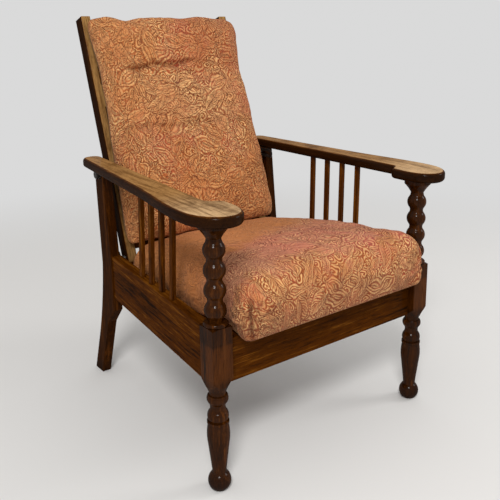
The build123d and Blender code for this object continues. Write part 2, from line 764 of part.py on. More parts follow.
# Quadrants: iron plates on the stiles, each with a slot that runs round the pivot
quadrant_inner_x = back_half_width + quadrant_packing
quadrant_outer_x = quadrant_inner_x + quadrant_thickness
slot_start = 90 - clamp_ahead - back_travel_angle
band_line = CenterArc((0, 0), clamp_arm, slot_start, clamp_ahead + back_travel_angle)
slot_line = CenterArc((0, 0), clamp_arm, slot_start, back_travel_angle)
for side in (-1, 1):
    with BuildPart() as quadrant:
        with BuildSketch(back_plane(side * quadrant_inner_x)):
            SlotArc(band_line, quadrant_band)
            with Locations((0, clamp_arm)):
                RectangleRounded(quadrant_foot_width, quadrant_foot, quadrant_corner)
            SlotArc(slot_line, 2 * (clamp_radius + quadrant_slot_gap), mode=Mode.SUBTRACT)
        extrude(amount=-side * quadrant_thickness)
        screws(quadrant_screw_planes(side), screw_length + quadrant_packing, running_gap, Mode.SUBTRACT)
    save(quadrant, "quadrant_" + side_name(side))

with BuildPart() as quadrant_packers:
    for side in (-1, 1):
        for plane in quadrant_screw_planes(side):
            with BuildSketch(plane.offset(quadrant_thickness)):
                Circle(packer_radius)
                Circle(screw_radius + running_gap, mode=Mode.SUBTRACT)
            extrude(amount=quadrant_packing)
save(quadrant_packers, "quadrant_packers")

with BuildPart() as quadrant_screws:
    screws(quadrant_screw_planes(-1) + quadrant_screw_planes(1), screw_length + quadrant_packing, 0, Mode.ADD)
save(quadrant_screws, "quadrant_screws")

# The clamp: bolt through slot and leg, spacer inside, washer and knob outside
bolt_head_radius = 8.0
bolt_head_height = 2.0
clamp_washer_radius = 11.5
clamp_washer_thickness = 1.5
knob_radius = 11.0
knob_height = 8.0
knob_dome = 3.5
knob_cap = 2.5
washer_outer_x = rear_leg_outer_x + clamp_washer_thickness
knob_outer_x = washer_outer_x + knob_height


def clamp_disc(side, x, outer_radius, bore_radius, length):
    # a round piece or ring on the clamp's axis, from x outwards
    with BuildSketch(side_plane(side * x)) as section:
        with Locations((clamp_y, clamp_z)):
            Circle(outer_radius)
            if bore_radius > 0:
                Circle(bore_radius, mode=Mode.SUBTRACT)
    extrude(section.sketch, amount=side * length)


for side in (-1, 1):
    with BuildPart() as clamp_bolt:
        head_x = quadrant_inner_x - fit_gap - bolt_head_height
        clamp_disc(side, head_x, bolt_head_radius, 0, bolt_head_height)
        clamp_disc(side, head_x, clamp_radius, 0, knob_outer_x - knob_cap - fit_gap - head_x)
    save(clamp_bolt, "clamp_bolt_" + side_name(side))

    with BuildPart() as clamp_spacer:
        clamp_disc(side, quadrant_outer_x + fit_gap, bolt_head_radius, clamp_radius + running_gap,
                   rear_leg_inner_x - quadrant_outer_x - fit_gap)
    save(clamp_spacer, "clamp_spacer_" + side_name(side))

    with BuildPart() as clamp_washer:
        clamp_disc(side, rear_leg_outer_x, clamp_washer_radius, clamp_radius + running_gap,
                   clamp_washer_thickness)
    save(clamp_washer, "clamp_washer_" + side_name(side))

    with BuildPart() as clamp_knob:
        clamp_disc(side, washer_outer_x + fit_gap, knob_radius, 0, knob_height - fit_gap)
        fillet(clamp_knob.faces().sort_by(Axis.X)[-1 if side > 0 else 0].edges(), knob_dome)
        with BuildSketch(side_plane(side * washer_outer_x)):
            with Locations((clamp_y, clamp_z)):
                Circle(clamp_radius + running_gap)
        extrude(amount=side * (knob_height - knob_cap), mode=Mode.SUBTRACT)
    save(clamp_knob, "clamp_knob_" + side_name(side))


def cushion_section(plane, half, low, seam, crown, bulge, shoulder):
    # one slice across a cushion: flat underneath, boxed sides that swell, a seam, and a crowned top.
    # low, seam and crown are heights, and shoulder is how far the rounded edge reaches in
    shoulder_height = seam + (crown - seam) * shoulder_share
    edge_height = seam + (shoulder_height - seam) * edge_share
    with BuildSketch(plane) as section:
        with BuildLine():
            Line((-half, low), (half, low))
            ThreePointArc((half, low), (half + bulge, (low + seam) / 2), (half, seam))
            ThreePointArc((half, seam), (half - shoulder * (1 - edge_share), edge_height),
                          (half - shoulder, shoulder_height))
            ThreePointArc((half - shoulder, shoulder_height), (0, crown), (-half + shoulder, shoulder_height))
            ThreePointArc((-half + shoulder, shoulder_height),
                          (-half + shoulder * (1 - edge_share), edge_height), (-half, seam))
            ThreePointArc((-half, seam), (-half - bulge, (low + seam) / 2), (-half, low))
        make_face()
    return section.sketch.face()


shoulder_share = 0.9
edge_share = 0.62

# Seat cushion on the deck. It fits between the front legs and overhangs the front rail.
seat_overhang = 67.0
seat_rear_gap = 34.0
seat_side_gap = 11.5
seat_bulge = 11.0
seat_thickness = 137.0
seat_shoulder = 46.0
seat_length = seat_overhang + (seat_depth - seat_rear_gap) / deck_cos
seat_front_half = post_inner_x - seat_side_gap - seat_bulge
seat_rear_half = rail_inner_x(leg_face_y - seat_rear_gap) - seat_side_gap - seat_bulge
# for each slice: its place along the cushion, then shares of the width, and of the thickness
# for the bottom, the seam and the crown
seat_slice_shares = (
    (0.0, 0.94, 0.2, 0.56, 0.7), (0.014, 1.0, 0.05, 0.66, 0.85), (0.045, 1.025, 0.0, 0.74, 0.95),
    (0.12, 1.0, 0.0, 0.77, 1.0), (0.3, 1.0, 0.0, 0.77, 0.99), (0.52, 1.0, 0.0, 0.71, 0.92),
    (0.72, 1.0, 0.0, 0.65, 0.85), (0.9, 1.0, 0.0, 0.58, 0.76), (0.975, 0.985, 0.03, 0.53, 0.68),
    (1.0, 0.93, 0.12, 0.46, 0.56))
with BuildPart() as seat_cushion:
    slices = []
    for place, width, low, seam, crown in seat_slice_shares:
        origin = deck_plane.from_local_coords((0, place * seat_length - seat_overhang, rest_gap))
        half = (seat_front_half + (seat_rear_half - seat_front_half) * place) * width
        plane = Plane(origin=origin, x_dir=(1, 0, 0), z_dir=(0, -deck_cos, deck_sin))
        slices.append(cushion_section(plane, half, low * seat_thickness, seam * seat_thickness,
                                      crown * seat_thickness, seat_bulge, seat_shoulder))
    loft(slices)
    split(bisect_by=deck_plane.offset(rest_gap), keep=Keep.TOP)
save(seat_cushion, "seat_cushion")

# Back cushion against the ladder, with two sewn creases across its middle
back_cushion_start = 32.0
back_cushion_drop = 20.0
back_cushion_half = 203.0
back_cushion_bulge = 12.0
back_cushion_thickness = 76.0
back_cushion_shoulder = 48.0
back_cushion_length = back_length - back_cushion_drop - back_cushion_start
back_slice_shares = (
    (0.0, 1.02, 0.2, 0.52, 0.64), (0.016, 1.055, 0.08, 0.62, 0.8), (0.05, 1.07, 0.0, 0.7, 0.94),
    (0.14, 1.06, 0.0, 0.74, 1.0), (0.3, 1.05, 0.0, 0.74, 1.02), (0.42, 1.03, 0.0, 0.73, 0.98),
    (0.455, 1.025, 0.0, 0.72, 0.93), (0.49, 1.02, 0.0, 0.73, 0.97), (0.6, 1.0, 0.0, 0.74, 1.0),
    (0.7, 0.995, 0.0, 0.73, 0.94), (0.745, 0.995, 0.0, 0.71, 0.84), (0.79, 1.0, 0.0, 0.72, 0.93),
    (0.87, 1.02, 0.0, 0.72, 0.98), (0.95, 1.04, 0.0, 0.68, 0.9), (0.985, 1.035, 0.06, 0.6, 0.76),
    (1.0, 0.985, 0.16, 0.5, 0.6))
with BuildPart() as back_cushion:
    slices = []
    for place, width, low, seam, crown in back_slice_shares:
        origin = (pivot + back_up * (back_cushion_start + place * back_cushion_length)
                  + back_forward * (back_face + rest_gap))
        plane = Plane(origin=origin, x_dir=(1, 0, 0), z_dir=-back_up)
        slices.append(cushion_section(plane, back_cushion_half * width, low * back_cushion_thickness,
                                      seam * back_cushion_thickness, crown * back_cushion_thickness,
                                      back_cushion_bulge, back_cushion_shoulder))
    loft(slices)
    split(bisect_by=Plane(origin=pivot + back_forward * (back_face + rest_gap), z_dir=back_forward),
          keep=Keep.TOP)
save(back_cushion, "back_cushion")
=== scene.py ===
import json
from math import cos, pi, radians, sin, tan

import bmesh
import bpy
import numpy as np
from bpy.props import FloatProperty, FloatVectorProperty, IntProperty, PointerProperty
from mathutils import Matrix, Vector, noise


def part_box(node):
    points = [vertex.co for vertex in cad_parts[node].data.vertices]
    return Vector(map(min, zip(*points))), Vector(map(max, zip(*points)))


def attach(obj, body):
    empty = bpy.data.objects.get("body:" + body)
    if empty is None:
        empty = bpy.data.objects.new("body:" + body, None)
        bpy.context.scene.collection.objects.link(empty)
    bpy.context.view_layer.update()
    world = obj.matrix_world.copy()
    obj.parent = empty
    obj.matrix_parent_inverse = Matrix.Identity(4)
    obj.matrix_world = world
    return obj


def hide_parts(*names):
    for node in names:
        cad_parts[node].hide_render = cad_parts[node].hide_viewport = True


bl_info = {
    "name": "Bobbin-leg reclining armchair",
    "version": (1, 0, 0),
    "blender": (4, 5, 0),
    "location": "View3D > Sidebar > Armchair",
    "description": "Dresses a reclining oak armchair: stained wood, ironwork and two patterned cushions",
    "category": "Object",
}

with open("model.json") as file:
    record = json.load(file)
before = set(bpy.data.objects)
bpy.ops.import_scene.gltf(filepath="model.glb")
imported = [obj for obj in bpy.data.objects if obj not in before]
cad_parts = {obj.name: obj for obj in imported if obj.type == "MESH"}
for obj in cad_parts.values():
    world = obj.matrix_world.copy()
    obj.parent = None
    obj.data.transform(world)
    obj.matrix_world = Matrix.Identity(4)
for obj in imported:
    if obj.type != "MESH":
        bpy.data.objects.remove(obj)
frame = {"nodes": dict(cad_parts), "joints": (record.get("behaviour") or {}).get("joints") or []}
NODES = frame["nodes"]
AXIS_X, AXIS_Z = Vector((1, 0, 0)), Vector((0, 0, 1))
WHITE = (1, 1, 1)

# Places that the frame gives. Lengths are in metres throughout.
PIVOT = next(Vector(joint["pos_m"]) for joint in frame["joints"] if joint["name"] == "back_recline")
FRONT_AXIS_Y = sum(corner.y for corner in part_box("front_leg_left")) / 2
FRONT_RAIL_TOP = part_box("front_rail")[1].z
BLOCK_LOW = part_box("side_rail_left")[0].z


def tone(red, green, blue):
    """A colour as seen, 0 to 255, made linear for the shaders."""
    def linear(value):
        share = value / 255
        return share / 12.92 if share <= 0.04045 else ((share + 0.055) / 1.055) ** 2.4
    return (linear(red), linear(green), linear(blue))


def colour_property(name, description, *seen):
    """A colour setting whose default is given as it is seen."""
    return FloatVectorProperty(name=name, description=description, subtype="COLOR", size=3, min=0, max=1,
                               default=tone(*seen))


def length_property(name, description, metres):
    return FloatProperty(name=name, description=description, default=metres, min=0, unit="LENGTH")


class StageSettings(bpy.types.PropertyGroup):
    """The floor, the background and the lights"""
    floor_size: length_property("Floor size", "Side of the square floor", 40.0)
    floor_fade: length_property("Floor fade", "Distance at which the floor becomes the plain background", 2.7)
    floor_colour: colour_property("Floor", "Colour of the pale floor", 232, 230, 227)
    background: FloatProperty(name="Background", description="Brightness of the plain background",
                              default=0.7, min=0, max=1)
    key_power: FloatProperty(name="Key lamp", description="Power of the large lamp at the front left",
                             default=88.0, min=0, unit="POWER")
    fill_power: FloatProperty(name="Fill lamp", description="Power of the lamp at the front right",
                              default=26.0, min=0, unit="POWER")
    sky: FloatProperty(name="Room light", description="Strength of the even light all round",
                       default=0.56, min=0, max=2)


class OakSettings(bpy.types.PropertyGroup):
    """The stains of the wood, where it is worn, and its grain"""
    stain: colour_property("Stain", "The stained oak's middle colour", 74, 36, 3)
    stain_dark: colour_property("Dark stain", "The stain where it lies thick", 28, 13, 4)
    stain_light: colour_property("Light stain", "The stain along the hard grain", 117, 69, 17)
    turned: colour_property("Turned work", "The darker, redder stain of the turned legs", 49, 22, 2)
    turned_light: colour_property("Turned highlights", "The hard grain of the turned legs", 84, 44, 9)
    worn: colour_property("Worn top", "The arms' tops, where the stain is rubbed away", 168, 124, 74)
    worn_pale: colour_property("Worn front", "The arms' front ends, rubbed almost bare", 216, 178, 132)
    # the stiles' front faces: rubbed stain, with painted light on them
    worn_and_lit_stile: colour_property("Worn stile", "The front faces of the back's uprights", 168, 128, 76)
    streak_width: length_property("Streak width", "How wide the grain's streaks are", 0.008)
    pore_depth: length_property("Pore depth", "How deep the open pores are", 0.00025)


class IronworkSettings(bpy.types.PropertyGroup):
    """The metal of the clamps and the back's fittings"""
    iron: colour_property("Iron", "The blackened iron of the clamps and quadrants", 46, 41, 38)
    steel: colour_property("Steel", "The dull steel of the bolts and screws", 150, 146, 140)


class ClothSettings(bpy.types.PropertyGroup):
    """The cushions' stuffing and the cloth over it"""
    seat_motif: length_property("Seat motif", "Distance between the leaves of the seat's pattern", 0.057)
    back_motif: length_property("Back motif", "Distance between the leaves of the back's pattern", 0.066)
    voxel: length_property("Mesh step", "Grid step of the cushions' meshes", 0.0052)
    pressure: FloatProperty(name="Stuffing", description="Pressure that swells a cushion", default=4.0, min=0)
    slack: FloatProperty(name="Slack", description="Spare cloth, as a share of its length", default=0.05,
                         min=0)
    shrink_first: length_property("Start", "How much smaller the pad is before it swells", 0.007)
    swell_limit: length_property("Swell limit", "The furthest that a point may swell", 0.024)
    proud: length_property("Stand proud", "How far the cloth may stand out of the cushion's form", 0.0028)
    sunk: length_property("Sink in", "How far the cloth may sink into the cushion's form", 0.0018)
    steps: IntProperty(name="Steps", description="Frames that the cushions settle over", default=20,
                       min=2, max=60)
    ground: colour_property("Ground", "The cloth's terracotta ground", 196, 114, 62)
    ground_pink: colour_property("Pink ground", "The ground where it has kept its red", 186, 92, 60)
    figure: colour_property("Figure", "The peach-gold threads of the pattern", 243, 196, 132)
    outline: colour_property("Outline", "The dark red threads round the figures", 116, 50, 26)
    lining: colour_property("Lining", "The plain lining under the cushions", 112, 86, 62)


class Port:
    """A node's output that adds Math nodes as it is used in an expression."""

    def __init__(self, shading, socket):
        self.shading = shading
        self.socket = socket

    def other(self, output):
        """Another output of the same node."""
        return Port(self.shading, self.socket.node.outputs[output])

    def math(self, operation, *values):
        return self.shading.node("ShaderNodeMath", {"operation": operation}, dict(enumerate(values)))

    def __add__(self, other):
        return self.math("ADD", self, other)

    __radd__ = __add__

    def __sub__(self, other):
        return self.math("SUBTRACT", self, other)

    def __rsub__(self, other):
        return self.math("SUBTRACT", other, self)

    def __mul__(self, other):
        return self.math("MULTIPLY", self, other)

    __rmul__ = __mul__

    def __truediv__(self, other):
        return self.math("DIVIDE", self, other)

    def __pow__(self, other):
        return self.math("POWER", self, other)

    def __abs__(self):
        return self.math("ABSOLUTE", self)

    def sine(self):
        return self.math("SINE", self)

    def cosine(self):
        return self.math("COSINE", self)

    def sign(self):
        return self.math("SIGN", self)

    def angle_over(self, other):
        """The angle at which a point lies whose Y is this and whose X is the other."""
        return self.math("ARCTAN2", self, other)

    def larger(self, other):
        return self.math("MAXIMUM", self, other)

    def step(self, low, high):
        """0 below low and 1 above high, smooth between them."""
        return self.shading.node("ShaderNodeMapRange", {"interpolation_type": "SMOOTHSTEP"},
                                 {"Value": self, "From Min": low, "From Max": high})

    def near(self, middle, width):
        """1 at the middle value, fading to 0 at the width on both sides."""
        return 1 - abs(self - middle).step(0, width)


class Shading:
    """Adds nodes to a node tree."""

    def __init__(self, tree):
        self.tree = tree

    def node(self, kind, settings=None, values=None, output=0):
        """Adds a node with its settings and its sockets' values or links, and gives one of its outputs."""
        node = self.tree.nodes.new(kind)
        for key, value in (settings or {}).items():
            setattr(node, key, value)
        for key, value in (values or {}).items():
            self.feed(node.inputs[key], value)
        return Port(self, node.outputs[output])

    def feed(self, socket, value):
        if isinstance(value, Port):
            self.tree.links.new(value.socket, socket)
        elif socket.type == "RGBA":
            socket.default_value = (*value, 1.0)
        else:
            socket.default_value = value

    def blend(self, shader, share, kind, strength, end):
        """Blends a shader by a share into a plain white light, and feeds both to the tree's end node."""
        plain = self.node(kind, {}, {"Color": WHITE, "Strength": strength})
        both = self.node("ShaderNodeMixShader", {}, {0: share, 1: Port(self, shader.outputs[0]), 2: plain})
        self.feed(self.tree.nodes[end].inputs[0], both)


class Finish(Shading):
    """A material in the making."""

    def __init__(self, name, roughness=0.5, **constants):
        self.material = bpy.data.materials.new(name)
        self.material.use_nodes = True
        super().__init__(self.material.node_tree)
        self.shader = self.tree.nodes["Principled BSDF"]
        self.set(Roughness=roughness, **constants)

    def set(self, **inputs):
        for key, value in inputs.items():
            self.feed(self.shader.inputs[key.replace("_", " ")], value)

    def place(self, output="Object"):
        return self.node("ShaderNodeTexCoord", output=output)

    def turned(self, place, direction, stretch):
        """Places seen in a frame whose X runs along the direction and is drawn out by the stretch."""
        turn = Vector(direction).to_track_quat("X", "Z").to_euler()
        return self.node("ShaderNodeMapping", {"vector_type": "TEXTURE"},
                         {"Vector": place, "Rotation": turn, "Scale": (stretch, 1, 1)})

    def noise(self, place, size, detail=2.0, roughness=0.5, distortion=0.0, output="Fac"):
        return self.node("ShaderNodeTexNoise", {}, {"Vector": place, "Scale": 1 / size, "Detail": detail,
                                                    "Roughness": roughness, "Distortion": distortion}, output)

    def vector(self, operation, *values, output=0):
        return self.node("ShaderNodeVectorMath", {"operation": operation}, dict(enumerate(values)), output)

    def parts(self, vector):
        """The three numbers of a vector or a colour."""
        first = self.node("ShaderNodeSeparateXYZ", {}, {0: vector})
        return [first.other(index) for index in range(3)]

    def mix(self, share, low, high):
        """Two colours mixed."""
        return self.node("ShaderNodeMix", {"data_type": "RGBA"}, {0: share, 6: low, 7: high}, output=2)

    def choose(self, share, low, high):
        """Two numbers mixed."""
        return self.node("ShaderNodeMix", {"data_type": "FLOAT"}, {0: share, 2: low, 3: high})

    def cells(self, flat, size):
        """Scattered cells on a flat map: the way from a cell's middle, and its three chance numbers."""
        middle = self.node("ShaderNodeTexVoronoi", {"voronoi_dimensions": "2D"},
                           {"Vector": flat, "Scale": 1 / size, "Randomness": 0.85}, output="Position")
        across, along, _ = self.parts(self.vector("SUBTRACT", flat, middle))
        return across, along, self.parts(middle.other("Color"))

    def bump(self, height, distance, normal=None):
        values = {"Height": height, "Distance": distance}
        if normal is not None:
            values["Normal"] = normal
        return self.node("ShaderNodeBump", {}, values)


# How much longer than wide the grain's broad bands and its streaks are, how squarely a face looks toward the
# worn side where its wear, and on the stiles its painted light, starts, and the sizes of the wood's worn
# patches and the iron's mottling
BAND_STRETCH, STREAK_STRETCH = 7, 18
WORN_FROM = 0.9
WEAR_SIZE, MOTTLE_SIZE, PITTING_SIZE = 0.11, 0.012, 0.0022


def oak(name, direction, stain, dark, light, roughness=0.42, coat=0.0, worn=None, toward=AXIS_Z, pale=0.0,
        block=None):
    """Stained open-pored oak whose grain runs along the direction. Faces that look toward a worn side are
    rubbed to the worn colour, paler toward the chair's front; on the stiles this lighter front face is also
    painted light. Faces turned away are darkened toward the dark stain: the unrubbed stain on the arms' sides
    and edges, painted shade on the stiles' outer faces. A leg's block gives its lowest and highest height and
    its own stain."""
    sizes = bpy.context.scene.armchair_oak
    finish = Finish(name, Coat_Roughness=0.14, Specular_IOR_Level=0.0)
    place = finish.place()
    _, rearward, height = finish.parts(place)
    width = sizes.streak_width
    board = finish.turned(place, direction, BAND_STRETCH)
    stretched = finish.turned(place, direction, STREAK_STRETCH)
    broad = finish.noise(board, 7 * width, detail=2)
    streak = finish.noise(stretched, width, detail=3, roughness=0.6, distortion=0.4)
    fine = finish.noise(stretched, width / 4, detail=2, roughness=0.6)
    pores = finish.noise(stretched, width / 9, detail=1).step(0.57, 0.68)
    flake = finish.noise(board, width / 2, detail=1).step(0.62, 0.75)
    dirt = finish.noise(place, WEAR_SIZE, detail=4, roughness=0.6)
    if block is not None:
        low, high, square_stain = block
        square = height.step(low - 0.01, low + 0.01) * height.step(high + 0.004, high - 0.004)
        stain = finish.mix(square, stain, square_stain)
    depth = broad * 0.55 + streak * 0.75 + fine * 0.35 - 0.325
    lit = finish.mix(depth.step(0.52, 0.74), stain, light)
    colour = finish.mix(depth.step(0.28, 0.52), dark, lit)
    colour = finish.mix(flake * 0.2, colour, light)
    if worn is not None:
        facing = finish.vector("DOT_PRODUCT", finish.place("Normal"), toward, output=1)
        face = facing.step(WORN_FROM, WORN_FROM + 0.09)
        front = rearward.step(FRONT_AXIS_Y + 0.16, FRONT_AXIS_Y - 0.03)
        worn = finish.mix(front * pale, worn, sizes.worn_pale)
        rubbed = finish.mix((streak * 0.7 + fine * 0.5).step(0.4, 0.7), finish.mix(0.65, worn, stain), worn)
        rubbed = finish.mix(dirt.step(0.48, 0.7) * 0.4, rubbed, stain)
        # faces turned from the worn side: painted shade on the stiles' outer faces, the unrubbed dark stain
        # on the arms' sides and edges
        colour = finish.mix((1 - facing.step(WORN_FROM - 0.35, WORN_FROM)) * 0.85, colour, dark)
        # faces toward the worn side: rubbed wear, and on the stiles also painted light
        colour = finish.mix(face * (0.7 + 0.3 * dirt.step(0.7, 0.4)), colour, rubbed)
    colour = finish.mix(pores * 0.5, colour, dark)
    colour = finish.mix(dirt.step(0.52, 0.8) * 0.4, colour, dark)
    colour = finish.mix(height.step(0.05, 0.015) * 0.6, colour, dark)
    finish.set(Base_Color=colour, Coat_Weight=coat * (1 - pores * 0.5),
               Roughness=roughness + 0.2 * (fine - 0.5) + 0.14 * (dirt - 0.5) + pores * 0.15,
               Normal=finish.bump(fine * 0.3 + streak * 0.25 - pores * 0.6, sizes.pore_depth))
    return finish.material


def iron(name, colour, roughness, metallic):
    """Blackened iron or dull steel, mottled and a little scratched."""
    finish = Finish(name, Metallic=metallic)
    place = finish.place()
    mottle = finish.noise(place, MOTTLE_SIZE, detail=4, roughness=0.6)
    pitting = finish.noise(place, PITTING_SIZE, detail=3, roughness=0.7)
    bright = [min(1, 1.9 * part + 0.02) for part in colour]
    finish.set(Base_Color=finish.mix(mottle.step(0.5, 0.75) * 0.5, colour, bright),
               Roughness=roughness + 0.25 * (mottle - 0.5) + 0.2 * (pitting - 0.5),
               Normal=finish.bump(pitting, 0.00015))
    return finish.material


# The directions in which the pieces' grain runs, from the angles that the chair is built to
BACK_ANGLE = radians(18)
BACK_UP = Vector((0, sin(BACK_ANGLE), cos(BACK_ANGLE)))
BACK_FORWARD = Vector((0, -cos(BACK_ANGLE), sin(BACK_ANGLE)))
DECK_ANGLE = radians(3)
DECK_REAR = Vector((0, cos(DECK_ANGLE), -sin(DECK_ANGLE)))
DECK_UP = Vector((0, sin(DECK_ANGLE), cos(DECK_ANGLE)))
ARM_ALONG = Vector((0, 1, tan(radians(1.15))))
# how far a side rail comes in for each metre to the rear
RAIL_TOE = 0.103
ACROSS = ("front_rail", "rear_rail", "seat_slat", "corner_block", "back_bottom_rail", "back_top_rail",
          "back_slat")


def grain_direction(name):
    if name.startswith(ACROSS):
        return AXIS_X
    if name.startswith("back_stile"):
        return BACK_UP
    if name.startswith("arm"):
        return ARM_ALONG
    if name.startswith(("side_rail", "seat_bearer")):
        return Vector((RAIL_TOE if "left" in name else -RAIL_TOE, 1, 0))
    return AXIS_Z


def slot_name(node):
    return NODES[node].material_slots[0].name


class ARMCHAIR_OT_oak(bpy.types.Operator):
    """Finish every wooden piece of the frame and the back in stained oak"""
    bl_idname = "armchair.oak"
    bl_label = "Oak"

    def execute(self, context):
        oaks = context.scene.armchair_oak
        plain = dict(stain=oaks.stain, dark=oaks.stain_dark, light=oaks.stain_light)
        turned = dict(stain=oaks.turned, dark=oaks.stain_dark, light=oaks.turned_light)
        styles = {
            "oak_arm": dict(plain, worn=oaks.worn, roughness=0.4, coat=0.1, pale=0.9),
            "oak_turned": dict(turned, coat=0.2, roughness=0.35,
                               block=(BLOCK_LOW, FRONT_RAIL_TOP, oaks.stain)),
            "oak_spindle": dict(plain, coat=0.08),
            "oak_rail": dict(plain, coat=0.04, roughness=0.5),
            # the stiles' forward faces get painted light and their other faces painted shade, as well as
            # their wear
            "oak_stile": dict(plain, coat=0.04, roughness=0.5, worn=oaks.worn_and_lit_stile, toward=BACK_FORWARD),
            "oak_rear_leg": dict(turned, coat=0.06),
            "oak_inner": dict(plain, roughness=0.6),
        }
        finishes = {}
        for name, piece in NODES.items():
            slot = slot_name(name)
            if slot not in styles:
                continue
            direction = grain_direction(name)
            key = (slot, round(direction.x, 3), round(direction.z, 3))
            if key not in finishes:
                finishes[key] = oak(slot + "_" + str(len(finishes)), direction, **styles[slot])
            piece.material_slots[0].material = finishes[key]
        return {"FINISHED"}


class ARMCHAIR_OT_metal(bpy.types.Operator):
    """Finish the clamps, quadrants, plates and screws in iron and steel"""
    bl_idname = "armchair.metal"
    bl_label = "Ironwork"

    def execute(self, context):
        metals = context.scene.armchair_ironwork
        finishes = {"dark_iron": iron("blackened_iron", metals.iron, 0.5, 0.7),
                    "steel": iron("dull_steel", metals.steel, 0.38, 1.0)}
        for name, piece in NODES.items():
            if slot_name(name) in finishes:
                piece.material_slots[0].material = finishes[slot_name(name)]
        return {"FINISHED"}


# How wide a thread line of the pattern is for each metre of motif, and the cloth's own fine scales
STROKE_SHARE = 0.115
WEAVE_PITCH, THREAD_SIZE, SPECKLE_SIZE, FOLD_SIZE = 0.0016, 0.0018, 0.007, 0.014
# Places on the cloth map that its noises start from, so that they don't run together
FADE_START, FOLD_START, SMALL_LEAF_START = (3.1, 1.7, 0), (0.7, 4.1, 0), (5.3, 2.9, 0)
FULL_TURN = 2 * pi


def leaf_layer(finish, flat, motif, stroke):
    """One almond leaf in each scattered cell: where the leaves lie, how light and how dark they are, and the
    shade round them."""
    x, y, chance = finish.cells(flat, motif)
    lean = chance[0] * FULL_TURN
    along = x * lean.cosine() + y * lean.sine()
    across = y * lean.cosine() - x * lean.sine()
    across = across + along * along * ((chance[1] - 0.5) * (1.2 / motif))
    length = motif * (0.46 + 0.2 * chance[1])
    width = length * (0.36 + 0.28 * chance[2])
    # 0 at the leaf's middle and 1 on its outline
    form = abs(across) / width + (along / length) ** 2
    leaf = form.step(1.06, 0.98)
    rim = form.near(0.88, 0.2)
    shade = form.near(1.12, 0.14)
    veins = ((abs(across) * 1.4 - along) * (FULL_TURN / stroke)).sine()
    rings = (form * (2.4 * FULL_TURN) + along * (3 / motif)).sine()
    inside = finish.choose(chance[2].step(0.45, 0.55), veins, rings) * 0.5 + 0.5
    midrib = (abs(across) / (0.3 * stroke)).step(1, 0.4)
    return leaf, (inside * 0.85).larger(rim), midrib.larger(inside.step(0.35, 0.0) * 0.8), shade


def woven_lines(finish, flat, motif):
    """The figure of the cloth: how light and how dark its threads are at each place of the flat map."""
    sway = finish.noise(flat, 0.6 * motif, detail=1, output="Color")
    sway = finish.vector("SUBTRACT", sway, (0.5, 0.5, 0.5))
    swayed = finish.vector("ADD", flat, finish.vector("MULTIPLY", sway, (0.5 * motif, 0.5 * motif, 0)))
    stroke = STROKE_SHARE * motif
    # scrolls: a spiral in each small cell
    x, y, chance = finish.cells(swayed, 0.38 * motif)
    radius = (x * x + y * y) ** 0.5
    way = (chance[0] - 0.5).sign()
    scroll = (radius * (FULL_TURN / stroke) + y.angle_over(x) * way + chance[1] * FULL_TURN).sine()
    light, dark = scroll.step(-0.2, 0.6), scroll.step(-0.3, -0.95)
    # small leaves over the scrolls, and large ones over both
    for share, start in ((0.6, SMALL_LEAF_START), (1.0, (0, 0, 0))):
        shifted = finish.vector("ADD", swayed, start)
        leaf, leaf_light, leaf_dark, shade = leaf_layer(finish, shifted, share * motif, stroke)
        light = finish.choose(leaf, light, leaf_light) * (1 - shade)
        dark = finish.choose(leaf, dark, leaf_dark).larger(shade * 0.9)
    return light, dark


